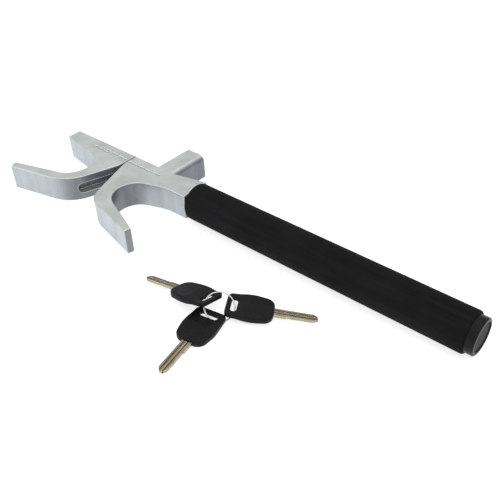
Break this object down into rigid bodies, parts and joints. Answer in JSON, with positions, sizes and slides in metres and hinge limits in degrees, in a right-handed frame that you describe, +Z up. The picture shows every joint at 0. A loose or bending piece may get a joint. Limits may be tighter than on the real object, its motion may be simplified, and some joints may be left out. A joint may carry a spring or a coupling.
{
  "type": "steering wheel lock",
  "caption": "Telescopic bar lock that hooks behind a steering wheel rim, with a ratcheting rod, a key cylinder and keys on a ring.",
  "frame": {"origin": "on the handle axis, at the end of the foam grip beside the hooks", "axes": "+X along the handle towards its end cap, +Z up, away from the surface the lock lies on"},
  "size_m": [0.498, 0.2313, 0.038],
  "materials": {
    "die_cast_metal": "satin die cast",
    "rod_steel": "ground and hardened",
    "pin_steel": "plain",
    "buffer_rubber": "matt",
    "tube_steel": "zinc plated",
    "grip_foam": "matt closed-cell foam",
    "cap_plastic": "semi-gloss",
    "bush_plastic": "plain",
    "spring_steel": "spring steel",
    "lock_brass": "satin",
    "wafer_brass": "plain",
    "ring_steel": "bright plated",
    "bow_plastic": "semi-gloss moulded",
    "key_metal": "nickel plated"
  },
  "bodies": {
    "handle": {"fixed_hook_casting": "die_cast_metal", "handle_tube": "tube_steel", "tube_pins": "pin_steel", "foam_grip": "grip_foam", "end_cap": "cap_plastic", "end_bumper": "buffer_rubber", "mouth_bush": "bush_plastic", "spigot_bush": "bush_plastic", "cylinder_shell": "lock_brass", "shell_pin": "pin_steel", "bolt_spring": "spring_steel"},
    "sliding_hook": {"sliding_hook_casting": "die_cast_metal", "locking_rod": "rod_steel", "rod_cross_pin": "pin_steel", "stop_collar": "pin_steel", "collar_pin": "pin_steel", "stop_buffer": "buffer_rubber"},
    "plug": {"cylinder_plug": "lock_brass", "plug_wafers": "wafer_brass", "plug_clip": "pin_steel"},
    "bolt": {"lock_bolt": "pin_steel"},
    "ring": {"key_ring": "ring_steel"},
    "key_1": {"key_1_bow": "bow_plastic", "key_1_blade": "key_metal"},
    "key_2": {"key_2_bow": "bow_plastic", "key_2_blade": "key_metal"},
    "key_3": {"key_3_bow": "bow_plastic", "key_3_blade": "key_metal"}
  },
  "joints": [
    {"name": "rod_slide", "type": "slide", "parent": "handle", "child": "sliding_hook", "axis": [-1, 0, 0], "range_m": [0, 0.25]},
    {"name": "plug_turn", "type": "hinge", "parent": "handle", "child": "plug", "pos_m": [-0.0503, 0, 0], "axis": [0, 0.9982, 0.0597], "range_deg": [0, 90]},
    {"name": "bolt_slide", "type": "slide", "parent": "handle", "child": "bolt", "axis": [0, -0.9982, -0.0597], "range_m": [0, 0.002], "deforming": ["bolt_spring"]},
    {"name": "key_ring_lift", "type": "slide", "parent": "handle", "child": "ring", "axis": [0, 0, 1], "range_m": [0, 0.05]},
    {"name": "key_1_round_ring", "type": "hinge", "parent": "ring", "child": "key_1", "pos_m": [0.1185, -0.0965, -0.01108], "axis": [0.4524, -0.3287, 0.829], "range_deg": [0, 10]},
    {"name": "key_2_round_ring", "type": "hinge", "parent": "ring", "child": "key_2", "pos_m": [0.1185, -0.0965, -0.01108], "axis": [-0.4524, 0.3287, -0.829], "range_deg": [0, 10]},
    {"name": "key_3_round_ring", "type": "hinge", "parent": "ring", "child": "key_3", "pos_m": [0.1185, -0.0965, -0.01108], "axis": [-0.4524, 0.3287, -0.829], "range_deg": [0, 10]}
  ],
  "couplings": [
    {"joint": "bolt_slide", "follows": "plug_turn", "m_per_rad": 0.0012732}
  ]
}
